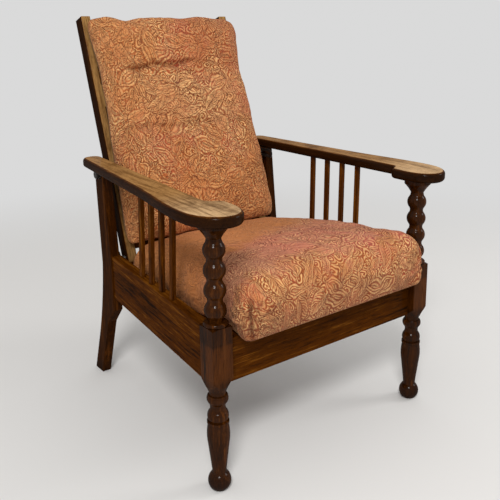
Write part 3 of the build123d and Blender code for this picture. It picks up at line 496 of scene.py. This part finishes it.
def cloth(name, settings, motif, regions, crinkle, lined_below, speckles=0.0):
    """A woven leaf-and-scroll cloth whose pattern lies in metres on the piece's cloth map. Its lining starts
    below a rise over the resting plane, and painted shade darkens its stitched seams, creases, fold troughs
    and fine fold lines. Each region is a mask's maker, a colour, how far the ground takes it, and how much it
    softens the figure. The crinkle is how deep the fine creases are, and the speckles are how dark the worn
    front end is dotted."""
    finish = Finish(name, roughness=0.88, Sheen_Weight=0.05, Specular_IOR_Level=0.12)
    flat = finish.node("ShaderNodeUVMap", {"uv_map": "cloth"})
    rise, crease_shade = (finish.node("ShaderNodeAttribute", {"attribute_name": mark}, output="Fac")
                  for mark in ("rise", "crease_shade"))
    across, along, _ = finish.parts(flat)
    light, dark = woven_lines(finish, flat, motif)
    patch = finish.noise(flat, 0.075, detail=2, roughness=0.6)
    fade = finish.noise(finish.vector("ADD", flat, FADE_START), 0.11, detail=2)
    thread = finish.noise(flat, THREAD_SIZE, detail=1)
    crease = finish.noise(finish.vector("ADD", flat, FOLD_START), FOLD_SIZE, detail=2, distortion=0.6)
    # fine fold lines: a bump, and painted shade in the cloth's colour below
    folds = 1 - abs(crease - 0.5).step(0.0, 0.07)
    ground = finish.mix(patch.step(0.42, 0.62), settings.ground, settings.ground_pink)
    figure = settings.figure
    strength = 0.42 + 0.4 * fade.step(0.38, 0.62)
    darkness = 0.35 + 0.4 * patch.step(0.6, 0.35)
    for mask, colour, amount, softness in regions:
        here = mask(across + (fade - 0.5) * 0.2, along + (patch - 0.5) * 0.2)
        ground = finish.mix(here * amount, ground, colour)
        figure = finish.mix(here * amount * 0.4, figure, colour)
        strength = strength * (1 - here * softness)
        darkness = darkness * (1 - here * softness)
    colour = finish.mix(light * strength, ground, figure)
    speckle = finish.noise(flat, SPECKLE_SIZE, detail=2, roughness=0.7).step(0.56, 0.68)
    # the pattern's dark threads, painted shade along the fine fold lines, the worn front end's dark speckles
    # and the threads' own tone
    for share in (dark * darkness, folds * fade.step(0.4, 0.6) * 0.35,
                  speckle * along.step(-0.04, -0.12) * speckles, thread.step(0.4, 0.7) * 0.12):
        colour = finish.mix(share, colour, settings.outline)
    # painted shade along the stitched seams, creases and fold troughs
    colour = finish.mix(crease_shade * 0.75, colour, [part * 0.5 for part in settings.outline])
    weave = (across * (FULL_TURN / WEAVE_PITCH)).sine() * (along * (FULL_TURN / WEAVE_PITCH)).sine()
    lined = rise.step(lined_below + 0.001, lined_below - 0.001)
    relief = finish.bump((light * 0.8 - dark * 0.5) * (1 - lined) + weave * 0.15 + thread * 0.35, 0.0006)
    finish.set(Base_Color=finish.mix(lined, colour, settings.lining), Roughness=0.82 + 0.12 * thread,
               Normal=finish.bump(folds * -1.0, crinkle, relief))
    return finish.material


def ramp(values, low, high):
    """0 at low and 1 at high, smooth between them."""
    share = np.clip((values - low) / (high - low), 0, 1)
    return share * share * (3 - 2 * share)


def bell(values, middle, width):
    """1 at the middle, falling off smoothly over the width on both sides."""
    return np.exp(-((values - middle) / width) ** 2)


def crumple(points, size, seed):
    """Smooth seeded noise at each point, about -1 to 1."""
    return np.array([noise.noise(Vector(point) / size + Vector((seed, 0, 0))) for point in points]) * 1.8


# How much of the cloth's slide along the cushion's face is kept, and where a held foot lets go of the cloth
ALONG_SHARE = 0.2
HELD_LOW, HELD_HIGH = 0.002, 0.012


class Pad:
    """A cushion in the making. Its own frame: X across, Y along its resting plane and Z out of it."""

    def __init__(self, node, name, origin, along, out):
        self.settings = bpy.context.scene.armchair_cloth
        self.node = node
        self.name = name
        self.turn = np.array(Matrix((AXIS_X, along, out)).transposed())
        self.origin = np.array(origin)
        mesh = NODES[node].data.copy()
        mesh.name = name
        for attribute in ("custom_normal", "sharp_edge", "sharp_face"):
            if attribute in mesh.attributes:
                mesh.attributes.remove(mesh.attributes[attribute])
        self.piece = bpy.data.objects.new(name, mesh)
        bpy.context.collection.objects.link(self.piece)
        shell = bmesh.new()
        shell.from_mesh(mesh)
        bmesh.ops.remove_doubles(shell, verts=shell.verts, dist=2e-5)
        bmesh.ops.recalc_face_normals(shell, faces=shell.faces)
        shell.to_mesh(mesh)
        shell.free()

    def points(self, mesh=None):
        """The mesh's points in the pad's own frame."""
        mesh = mesh or self.piece.data
        flat = np.empty(len(mesh.vertices) * 3)
        mesh.vertices.foreach_get("co", flat)
        return (flat.reshape(-1, 3) - self.origin) @ self.turn

    def put(self, points):
        self.piece.data.vertices.foreach_set("co", (points @ self.turn.T + self.origin).ravel())
        self.piece.data.update()

    def normals(self):
        flat = np.empty(len(self.piece.data.vertices) * 3)
        self.piece.data.vertex_normals.foreach_get("vector", flat)
        return flat.reshape(-1, 3) @ self.turn

    def swell(self, amount):
        """Moves each point out along its normal by its own amount."""
        self.put(self.points() + self.normals() * np.reshape(amount, (-1, 1)))

    def bake(self):
        """Turns what the modifiers make now into the piece's mesh."""
        graph = bpy.context.evaluated_depsgraph_get()
        made = bpy.data.meshes.new_from_object(self.piece.evaluated_get(graph))
        self.piece.modifiers.clear()
        self.piece.data = made
        made.name = self.name

    def remesh(self):
        """Makes the pad an even grid, which a cloth needs."""
        grid = self.piece.modifiers.new("grid", "REMESH")
        grid.mode = "VOXEL"
        grid.voxel_size = self.settings.voxel
        grid.use_smooth_shade = True
        self.bake()

    def settle(self, held):
        """Swells the pad as a slack stuffed cloth that is held where held is 1, and keeps what the
        cloth has done as relief on the CAD form."""
        start, outward = self.points(), self.normals()
        self.swell(-self.settings.shrink_first * (1 - held))
        before = self.points()
        group = self.piece.vertex_groups.new(name="held")
        for vertex in np.nonzero(held > 0.02)[0]:
            group.add([int(vertex)], float(held[vertex]), "REPLACE")
        cover = self.piece.modifiers.new("cover", "CLOTH")
        cover.settings.quality = 5
        cover.settings.vertex_group_mass = group.name
        cover.settings.use_pressure = True
        cover.settings.uniform_pressure_force = self.settings.pressure
        cover.settings.effector_weights.gravity = 0
        cover.settings.shrink_min = -self.settings.slack
        cover.settings.bending_stiffness = 0.3
        scene = bpy.context.scene
        for step in range(1, self.settings.steps + 1):
            scene.frame_set(step)
        settled = self.piece.evaluated_get(bpy.context.evaluated_depsgraph_get())
        moved = self.points(settled.data) - before
        self.piece.modifiers.clear()
        self.piece.vertex_groups.clear()
        scene.frame_set(1)
        limit = self.settings.swell_limit
        length = np.linalg.norm(moved, axis=1, keepdims=True) + 1e-9
        moved = before + moved * np.minimum(1, limit / length) - start
        out = np.sum(moved * outward, axis=1, keepdims=True)
        along = moved - out * outward
        depth = np.where(out > 0, self.settings.proud, self.settings.sunk)
        self.put(start + depth * np.tanh(out / (0.5 * limit)) * outward + ALONG_SHARE * along)

    def smooth(self, rounds):
        shell = bmesh.new()
        shell.from_mesh(self.piece.data)
        for _ in range(rounds):
            bmesh.ops.smooth_vert(shell, verts=shell.verts, factor=0.5, use_axis_x=True, use_axis_y=True,
                                  use_axis_z=True)
        shell.to_mesh(self.piece.data)
        shell.free()

    def mark(self, name, values):
        """Keeps a number for each point, for the piece's material."""
        self.piece.data.attributes.new(name, "FLOAT", "POINT").data.foreach_set("value", values)

    def hand_over(self, body, material, front, rear, crease_shade):
        """Lays the cloth map, adds the last subdivision and hands the piece to its body."""
        mesh = self.piece.data
        self.lay_map(front, rear)
        self.mark("crease_shade", crease_shade)
        mesh.polygons.foreach_set("use_smooth", [True] * len(mesh.polygons))
        rounder = self.piece.modifiers.new("rounder", "SUBSURF")
        rounder.levels = rounder.render_levels = 1
        mesh.materials.clear()
        mesh.materials.append(material)
        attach(self.piece, body)
        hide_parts(self.node)

    def lay_map(self, front, rear):
        """Lays the cloth map in metres: the cloth lies flat on top and wraps down over the sides and, within
        the front and rear lengths, over the ends. The rise is each point's height over the resting plane."""
        x, y, z = self.points().T
        # how high and how wide the cushion is in each band along it
        marks = np.linspace(y.min(), y.max(), 60)
        band = np.clip(np.searchsorted(marks, y), 1, len(marks) - 1)
        crown = np.array([z[band == k].max() for k in range(1, len(marks))])
        half = np.array([np.abs(x[band == k]).max() for k in range(1, len(marks))])
        middles = (marks[1:] + marks[:-1]) / 2
        drop = np.interp(y, middles, crown) - z
        edge = np.interp(y, middles, half) - np.abs(x)
        over_side = 1 - ramp(edge, 0.02, 0.11)
        over_front = 1 - ramp(y, y.min() + 0.2 * front, y.min() + front)
        over_rear = ramp(y, y.max() - rear, y.max() - 0.2 * rear)
        placed = np.stack([x + np.sign(x) * drop * over_side, y + drop * (over_rear - over_front)], axis=1)
        corners = np.empty(len(self.piece.data.loops), dtype=int)
        self.piece.data.loops.foreach_get("vertex_index", corners)
        layer = self.piece.data.uv_layers.new(name="cloth")
        layer.data.foreach_set("uv", placed[corners].ravel())
        self.mark("rise", z)


# How far each cushion's own frame starts above what it rests on
SEAT_LIFT, REST_GAP = 0.0013, 0.0003

# The seat cushion: a crowned top that rolls over the front, stitched at its two front corners. Each seam has
# a width, a depth and a top, and the folds run out from a pucker in it.
SEAT_CORNER_X, SEAT_CORNER_IN = 0.225, 0.03
SEAT_SEAM_TOP, SEAT_SEAM_WIDTH, SEAT_SEAM_DEPTH = 0.09, 0.0062, 0.0105
SEAT_PUCKER_HEIGHT, SEAT_PUCKER_WIDTH, SEAT_PUCKER_DEPTH = 0.047, 0.012, 0.005
SEAT_FOLDS, SEAT_FOLD_REACH, SEAT_FOLD_WIDTH, SEAT_FOLD_DEPTH = 11, 0.022, 0.026, 0.004


def seat_corner_folds(points):
    """How far the front corners' seams and folds draw the cloth in, and where painted shade darkens the seams
    and the folds' troughs.
    """
    x, y, z = points.T
    drawn, crease_shade = np.zeros(len(points)), np.zeros(len(points))
    for side in (-1, 1):
        # across the corner's diagonal, and out along it
        beside, behind = side * x - SEAT_CORNER_X, y - y.min() - SEAT_CORNER_IN
        across, outward = (beside + behind) / np.sqrt(2), (beside - behind) / np.sqrt(2)
        near = ramp(outward, -0.045, 0.0)
        seam = bell(across, 0, SEAT_SEAM_WIDTH) * ramp(z, SEAT_SEAM_TOP + 0.015, SEAT_SEAM_TOP - 0.015)
        reach = np.hypot(across, z - SEAT_PUCKER_HEIGHT)
        angle = np.arctan2(z - SEAT_PUCKER_HEIGHT, across)
        folds = np.sin(SEAT_FOLDS * angle + 2.2 * np.sin(2 * angle + side))
        folds *= bell(reach, SEAT_FOLD_REACH, SEAT_FOLD_WIDTH)
        drawn += near * (SEAT_FOLD_DEPTH * folds - SEAT_SEAM_DEPTH * seam
                         - SEAT_PUCKER_DEPTH * bell(reach, 0, SEAT_PUCKER_WIDTH))
        # painted shade along the seam and in the folds' troughs
        crease_shade += near * (0.8 * seam + 0.35 * ramp(folds, -0.2, -0.9))
    return drawn, np.clip(crease_shade, 0, 1)


def seat_tints():
    """The seat cloth's regions: rose over the middle, brown down the front, gold at the rear and pale at the
    left edge."""
    return (
        (lambda u, v: v.step(-0.08, 0.02) * v.step(0.3, 0.12), tone(210, 114, 94), 0.85, -0.3),
        (lambda u, v: v.step(-0.09, -0.15), tone(150, 86, 56), 0.8, -0.1),
        (lambda u, v: (v - u * 0.45).step(0.13, 0.23), tone(204, 128, 66), 0.9, 0.6),
        (lambda u, v: u.step(-0.1, -0.18) * v.step(0.12, 0.06) * v.step(-0.06, 0.0), tone(182, 124, 92),
         0.6, 0.1),
    )


def back_tints():
    """The back cloth's regions: gold at the upper left, brown at the upper right, a painted highlight across
    the puffed middle between the creases, and gold below."""
    return (
        (lambda u, v: v.step(0.3, 0.42) * u.step(0.0, -0.1), tone(202, 128, 70), 0.6, 0.0),
        (lambda u, v: v.step(0.42, 0.5) * u.step(-0.05, 0.06), tone(172, 86, 48), 0.5, 0.1),
        # painted highlight: the puffed band between the two creases made paler
        (lambda u, v: v.step(0.28, 0.34) * v.step(0.46, 0.42) * u.step(-0.2, -0.05) * u.step(0.18, 0.1),
         tone(212, 148, 98), 0.5, -0.2),
        (lambda u, v: v.step(0.28, 0.16), tone(206, 126, 66), 0.6, 0.05),
    )


def braid(name, colour):
    """The piping's plain twisted cord."""
    finish = Finish(name, Specular_IOR_Level=0.15)
    place = finish.place()
    twist = finish.noise(place, 0.0016, detail=2)
    wear = finish.noise(place, 0.04, detail=2)
    finish.set(Base_Color=finish.mix(twist.step(0.4, 0.7) * 0.5, colour, [part * 0.4 for part in colour]),
               Roughness=0.8 + 0.1 * wear, Normal=finish.bump(twist, 0.0004))
    return finish.material


class ARMCHAIR_OT_seat_cushion(bpy.types.Operator):
    """Make the thick seat cushion"""
    bl_idname = "armchair.seat_cushion"
    bl_label = "Seat cushion"

    def execute(self, context):
        settings = context.scene.armchair_cloth
        origin = Vector((0, FRONT_AXIS_Y, FRONT_RAIL_TOP)) + SEAT_LIFT * DECK_UP
        pad = Pad("seat_cushion", "seat_pad", origin, DECK_REAR, DECK_UP)
        pad.remesh()
        rise = pad.points()[:, 2]
        pad.settle(held=1 - ramp(rise, HELD_LOW, HELD_HIGH))
        pad.smooth(2)
        points = pad.points()
        x, y, z = points.T
        on_cloth = ramp(z, 0.004, 0.014)
        rear = ramp(y, 0.1, 0.3)
        low_front = ramp(z, 0.07, 0.03) * ramp(y, 0.06, -0.02)
        # large crumples all over, and small ones that are strongest low in front
        relief = crumple(points, 0.05, 1) * 0.0022 * (1 - 0.4 * rear)
        relief += crumple(points, 0.02, 5) * 0.0009 * (1 - 0.6 * rear + 0.7 * low_front)
        folds, crease_shade = seat_corner_folds(points)
        pad.swell(on_cloth * (relief + folds))
        woven = cloth("seat_cloth", settings, settings.seat_motif, seat_tints(), crinkle=0.0011,
                      lined_below=0.003, speckles=0.7)
        pad.hand_over("frame", woven, front=0.12, rear=0.08, crease_shade=crease_shade)
        return {"FINISHED"}


# The back cushion's stitched creases: their heights along the back, the upper one's slope and ends, and how
# deep each draws in. Its cloth and lining meet in a corded edge.
UPPER_CREASE, UPPER_CREASE_SLOPE, UPPER_CREASE_DEPTH = 0.478, 0.05, 0.013
LOWER_CREASE, LOWER_CREASE_DEPTH = 0.314, 0.004
CREASE_LEFT, CREASE_RIGHT = -0.17, 0.05
PIPING_RISE, PIPING_RADIUS = 0.0105, 0.002


def back_creases(points):
    """How far the creases and the folds that gather along them move the cloth, and where painted shade
    darkens the creases.
    """
    x, y, z = points.T
    outside = ramp(z, 0.03, 0.05)
    line = UPPER_CREASE + UPPER_CREASE_SLOPE * (x + 0.05) + 0.003 * np.sin(x * 60)
    window = ramp(x, CREASE_LEFT, CREASE_LEFT + 0.03) * ramp(x, CREASE_RIGHT + 0.02, CREASE_RIGHT - 0.04)
    from_line = y - line
    gathers = np.sin(x * FULL_TURN / 0.021 + 2.5 * np.sin(x * 31)) * np.sign(from_line + 1e-6)
    upper = window * (-UPPER_CREASE_DEPTH * bell(from_line, 0, 0.0055)
                      + 0.0042 * bell(np.abs(from_line), 0.017, 0.011)
                      + 0.0032 * gathers * bell(np.abs(from_line), 0.014, 0.012))
    low_line = y - LOWER_CREASE - 0.004 * np.sin(x * 45 + 1)
    low_window = ramp(x, -0.19, -0.15) * ramp(x, 0.12, 0.02)
    low_gathers = np.sin(x * FULL_TURN / 0.03 + 2 * np.sin(x * 23))
    lower = low_window * (-LOWER_CREASE_DEPTH * bell(low_line, 0, 0.006)
                          + 0.0022 * bell(np.abs(low_line), 0.015, 0.01)
                          + 0.0014 * low_gathers * bell(low_line, 0, 0.02))
    # painted shade along the two creases
    crease_shade = 0.45 * window * bell(from_line, 0, 0.005) + 0.2 * low_window * bell(low_line, 0, 0.005)
    return outside * (upper + lower), outside * crease_shade


def top_edge_rise(points):
    """How far the wavy top edge of the back cushion stands up: an ear at the left and a dip beside it."""
    x, y, _ = points.T
    near_top = ramp(y, y.max() - 0.07, y.max())
    return near_top * (0.004 * bell(x, -0.19, 0.035) - 0.007 * bell(x, -0.13, 0.03)
                       + 0.002 * bell(x, 0.09, 0.06) - 0.006 * bell(x, 0.21, 0.03))


class ARMCHAIR_OT_back_cushion(bpy.types.Operator):
    """Make the long back cushion with its stitched creases"""
    bl_idname = "armchair.back_cushion"
    bl_label = "Back cushion"

    def execute(self, context):
        settings = context.scene.armchair_cloth
        # how far the ladder's front face stands before the pivot
        face = (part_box("back_top_rail")[0] - PIVOT).dot(BACK_FORWARD)
        pad = Pad("back_cushion", "back_pad", PIVOT + (face + REST_GAP) * BACK_FORWARD, BACK_UP, BACK_FORWARD)
        pad.remesh()
        x, y, z = pad.points().T
        held = 1 - ramp(z, HELD_LOW, HELD_HIGH)
        crease = (bell(y, UPPER_CREASE, 0.006) * ramp(x, CREASE_LEFT, CREASE_LEFT + 0.03)
                  * ramp(x, CREASE_RIGHT + 0.01, CREASE_RIGHT - 0.03))
        pad.settle(held=np.maximum(held, 0.9 * crease))
        pad.smooth(2)
        points = pad.points()
        x, y, z = points.T
        on_cloth = ramp(z, 0.006, 0.02)
        middle = ramp(y, 0.27, 0.33) * ramp(y, 0.56, 0.5) * ramp(np.abs(x), 0.22, 0.1)
        # large swells, sharp folds between them and small crumples, strongest across the middle
        relief = crumple(points, 0.045, 11) * 0.002
        relief += -np.abs(crumple(points, 0.026, 13)) * 0.003 * (0.25 + middle) + 0.0008
        relief += crumple(points, 0.013, 17) * 0.0011 * (0.4 + middle)
        creases, crease_shade = back_creases(points)
        pad.swell(on_cloth * (relief + creases))
        points = pad.points()
        points[:, 1] += top_edge_rise(points)
        pad.put(points)
        woven = cloth("back_cloth", settings, settings.back_motif, back_tints(), crinkle=0.002,
                      lined_below=PIPING_RISE)
        pad.hand_over("back", woven, front=0.06, rear=0.06, crease_shade=crease_shade)
        self.piping(pad, settings)
        return {"FINISHED"}

    def piping(self, pad, settings):
        """Makes the thin corded edge where the cloth meets the lining, all round the cushion."""
        shell = bmesh.new()
        shell.from_mesh(pad.piece.data)
        level = Vector(pad.origin) + PIPING_RISE * BACK_FORWARD
        everything = shell.verts[:] + shell.edges[:] + shell.faces[:]
        cut = bmesh.ops.bisect_plane(shell, geom=everything, plane_co=level,
                                     plane_no=BACK_FORWARD)["geom_cut"]
        # the cut's points in their order round the cushion
        shell.verts.index_update()
        left = {point for point in cut if isinstance(point, bmesh.types.BMVert)}
        ahead = [min(left, key=lambda point: point.index)]
        ring = []
        while ahead:
            ring.append(ahead[0])
            left.discard(ahead[0])
            beside = [edge.other_vert(ring[-1]) for edge in ring[-1].link_edges]
            ahead = [point for point in beside if point in left]
        places = np.array([point.co for point in ring])
        shell.free()
        for _ in range(6):
            places = (np.roll(places, 1, axis=0) + 2 * places + np.roll(places, -1, axis=0)) / 4
        line = bpy.data.curves.new("back_piping", "CURVE")
        line.dimensions = "3D"
        line.bevel_depth = PIPING_RADIUS
        line.bevel_resolution = 3
        spline = line.splines.new("POLY")
        spline.use_cyclic_u = True
        kept = places[::2]
        spline.points.add(len(kept) - 1)
        spline.points.foreach_set("co", np.hstack([kept, np.ones((len(kept), 1))]).ravel())
        drawn = bpy.data.objects.new("back_piping_line", line)
        mesh = bpy.data.meshes.new_from_object(drawn)
        bpy.data.objects.remove(drawn)
        piece = bpy.data.objects.new("back_piping", mesh)
        bpy.context.collection.objects.link(piece)
        mesh.polygons.foreach_set("use_smooth", [True] * len(mesh.polygons))
        mesh.materials.clear()
        mesh.materials.append(braid("piping", settings.lining))
        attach(piece, "back")


# The photograph's camera, and the two lamps: where each stands and how wide it is
CAMERA_PLACE = Vector((-0.9602, FRONT_AXIS_Y - 1.0177, 0.9083))
CAMERA_YAW, CAMERA_PITCH, CAMERA_ROLL = radians(36.64), radians(13.13), radians(-0.76)
CAMERA_LENS, CAMERA_SENSOR, CAMERA_SHIFT = 48.87, 36, -0.12
KEY_PLACE, KEY_WIDTH = Vector((-2.0, -2.4, 3.0)), 1.0
FILL_PLACE, FILL_WIDTH = Vector((2.8, -1.6, 2.0)), 1.2
LAMP_TARGET = Vector((0, 0, 0.4))


class ARMCHAIR_OT_stage(bpy.types.Operator):
    """Set the pale floor, the soft lamps and the camera"""
    bl_idname = "armchair.stage"
    bl_label = "Stage"

    def execute(self, context):
        settings = context.scene.armchair_stage
        self.camera(context)
        self.floor(context, settings)
        self.lamp(context, "key", settings.key_power, KEY_PLACE, KEY_WIDTH)
        self.lamp(context, "fill", settings.fill_power, FILL_PLACE, FILL_WIDTH)
        self.room(context, settings)
        context.scene.view_settings.view_transform = "Standard"
        return {"FINISHED"}

    def camera(self, context):
        level_ahead = Vector((sin(CAMERA_YAW), cos(CAMERA_YAW), 0))
        ahead = level_ahead * cos(CAMERA_PITCH) - AXIS_Z * sin(CAMERA_PITCH)
        right = Vector((cos(CAMERA_YAW), -sin(CAMERA_YAW), 0))
        up = right.cross(ahead)
        level = right * cos(CAMERA_ROLL) + up * sin(CAMERA_ROLL)
        upright = up * cos(CAMERA_ROLL) - right * sin(CAMERA_ROLL)
        lens = bpy.data.cameras.new("camera")
        lens.sensor_width = CAMERA_SENSOR
        lens.lens = CAMERA_LENS
        lens.shift_y = CAMERA_SHIFT
        lens.clip_start = 0.05
        lens.clip_end = 60
        camera = bpy.data.objects.new("camera", lens)
        turn = Matrix((level, upright, -ahead)).transposed().to_4x4()
        camera.matrix_world = Matrix.Translation(CAMERA_PLACE) @ turn
        context.collection.objects.link(camera)
        context.scene.camera = camera

    def floor(self, context, settings):
        mesh = bpy.data.meshes.new("floor")
        shell = bmesh.new()
        bmesh.ops.create_grid(shell, x_segments=1, y_segments=1, size=settings.floor_size / 2)
        shell.to_mesh(mesh)
        shell.free()
        floor = bpy.data.objects.new("floor", mesh)
        context.collection.objects.link(floor)
        finish = Finish("floor", roughness=0.9, Specular_IOR_Level=0.1, Base_Color=settings.floor_colour)
        distance = finish.vector("LENGTH", finish.place(), output=1)
        far = distance.step(0.4 * settings.floor_fade, settings.floor_fade)
        finish.blend(finish.shader, far, "ShaderNodeEmission", settings.background, "Material Output")
        mesh.materials.append(finish.material)

    def lamp(self, context, name, power, place, width):
        light = bpy.data.lights.new(name, "AREA")
        light.shape = "DISK"
        light.size = width
        light.energy = power
        lamp = bpy.data.objects.new(name, light)
        lamp.matrix_world = Matrix.LocRotScale(place, (LAMP_TARGET - place).to_track_quat("-Z", "Y"), None)
        context.collection.objects.link(lamp)

    def room(self, context, settings):
        world = bpy.data.worlds.new("room")
        context.scene.world = world
        world.use_nodes = True
        shading = Shading(world.node_tree)
        light = world.node_tree.nodes["Background"]
        shading.feed(light.inputs["Color"], WHITE)
        shading.feed(light.inputs["Strength"], settings.sky)
        # the camera, mirrors and glass see the plain background
        seen = shading.node("ShaderNodeLightPath", output="Is Camera Ray")
        seen = seen.larger(seen.other("Is Glossy Ray")).larger(seen.other("Is Transmission Ray"))
        shading.blend(light, seen, "ShaderNodeBackground", settings.background, "World Output")


OPERATORS = (ARMCHAIR_OT_stage, ARMCHAIR_OT_oak, ARMCHAIR_OT_metal, ARMCHAIR_OT_seat_cushion,
             ARMCHAIR_OT_back_cushion)
SETTINGS = {"armchair_stage": StageSettings, "armchair_oak": OakSettings,
            "armchair_ironwork": IronworkSettings, "armchair_cloth": ClothSettings}


class ARMCHAIR_PT_panel(bpy.types.Panel):
    """The armchair's settings and pieces"""
    bl_idname = "ARMCHAIR_PT_panel"
    bl_label = "Armchair"
    bl_space_type = "VIEW_3D"
    bl_region_type = "UI"
    bl_category = "Armchair"

    def draw(self, context):
        for group_name in SETTINGS:
            group = getattr(context.scene, group_name)
            box = self.layout.box()
            for name in group.__annotations__:
                box.prop(group, name)
        for operator in OPERATORS:
            self.layout.operator(operator.bl_idname)


def register():
    for group_name, group in SETTINGS.items():
        bpy.utils.register_class(group)
        setattr(bpy.types.Scene, group_name, PointerProperty(type=group))
    for operator in OPERATORS:
        bpy.utils.register_class(operator)
    bpy.utils.register_class(ARMCHAIR_PT_panel)


def unregister():
    bpy.utils.unregister_class(ARMCHAIR_PT_panel)
    for operator in reversed(OPERATORS):
        bpy.utils.unregister_class(operator)
    for group_name, group in SETTINGS.items():
        delattr(bpy.types.Scene, group_name)
        bpy.utils.unregister_class(group)


def main():
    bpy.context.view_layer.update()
    register()
    for operator in OPERATORS:
        group, name = operator.bl_idname.split(".")
        getattr(getattr(bpy.ops, group), name)()


if __name__ == "__main__":
    main()
